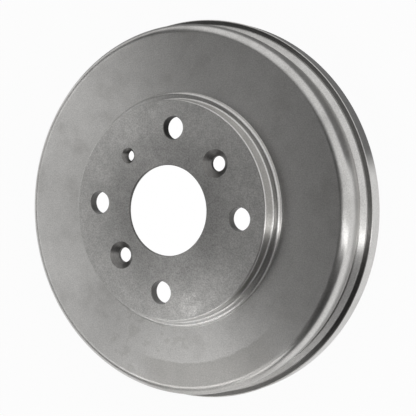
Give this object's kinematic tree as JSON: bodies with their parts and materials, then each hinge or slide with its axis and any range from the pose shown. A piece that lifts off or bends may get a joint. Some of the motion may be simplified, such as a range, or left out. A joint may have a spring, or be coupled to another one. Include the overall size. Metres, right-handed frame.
{
  "type": "brake drum",
  "caption": "Round cast brake drum with a raised stepped hub, pilot bore, stud holes and an open rim that takes the brake shoes.",
  "frame": {"origin": "on the drum's axis, in the plane of the open rim that it rests on", "axes": "+Z along the axle towards the hub face that the wheel sits on; +X through the middle of one stud hole"},
  "size_m": [0.2376, 0.2376, 0.045],
  "materials": {
    "turned_iron": "bare grey iron, finely turned"
  },
  "bodies": {
    "root": {"brake_drum": "turned_iron"}
  },
  "joints": []
}
